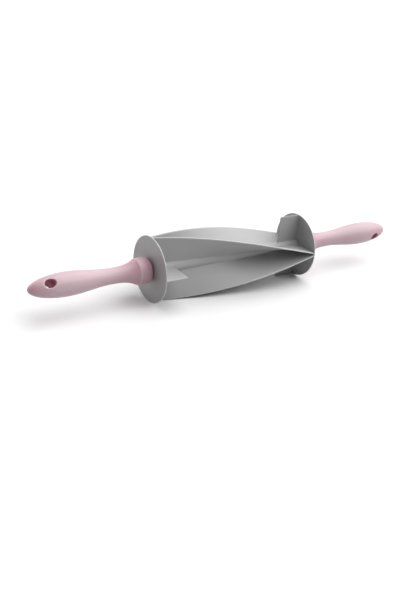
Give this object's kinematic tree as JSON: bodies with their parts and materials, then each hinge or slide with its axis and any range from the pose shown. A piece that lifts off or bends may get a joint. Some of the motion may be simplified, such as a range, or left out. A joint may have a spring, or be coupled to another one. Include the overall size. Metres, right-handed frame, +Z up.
{
  "type": "croissant cutter roller",
  "caption": "Hand roller with helical cutting blades between round end discs, for cutting rolled dough into croissant triangles, with free-turning moulded grips and hanging holes.",
  "frame": {"origin": "on the roller's axis, midway between the end discs", "axes": "+X along the roller's axis towards the right handle, +Z up, -Y towards the front"},
  "size_m": [0.398, 0.062, 0.062],
  "materials": {
    "grey_plastic": "matte",
    "pink_plastic": "satin",
    "steel": "brushed"
  },
  "bodies": {
    "roller": {"core_tube": "grey_plastic", "blade_front_upper": "grey_plastic", "blade_front_lower": "grey_plastic", "blade_back_upper": "grey_plastic", "blade_back_lower": "grey_plastic", "notch_left_front": "grey_plastic", "notch_left_back": "grey_plastic", "notch_right_upper": "grey_plastic", "notch_right_lower": "grey_plastic", "disc_left": "grey_plastic", "disc_right": "grey_plastic", "axle": "steel", "washer_left": "steel", "washer_right": "steel", "clip_left": "steel", "clip_right": "steel"},
    "left_handle": {"handle_left": "pink_plastic", "collar_left": "pink_plastic"},
    "right_handle": {"handle_right": "pink_plastic", "collar_right": "pink_plastic"}
  },
  "joints": [
    {"name": "left_handle_spin", "type": "hinge", "parent": "roller", "child": "left_handle", "pos_m": [-0.092, 0, 0], "axis": [1, 0, 0], "continuous": true},
    {"name": "right_handle_spin", "type": "hinge", "parent": "roller", "child": "right_handle", "pos_m": [0.092, 0, 0], "axis": [1, 0, 0], "continuous": true}
  ]
}
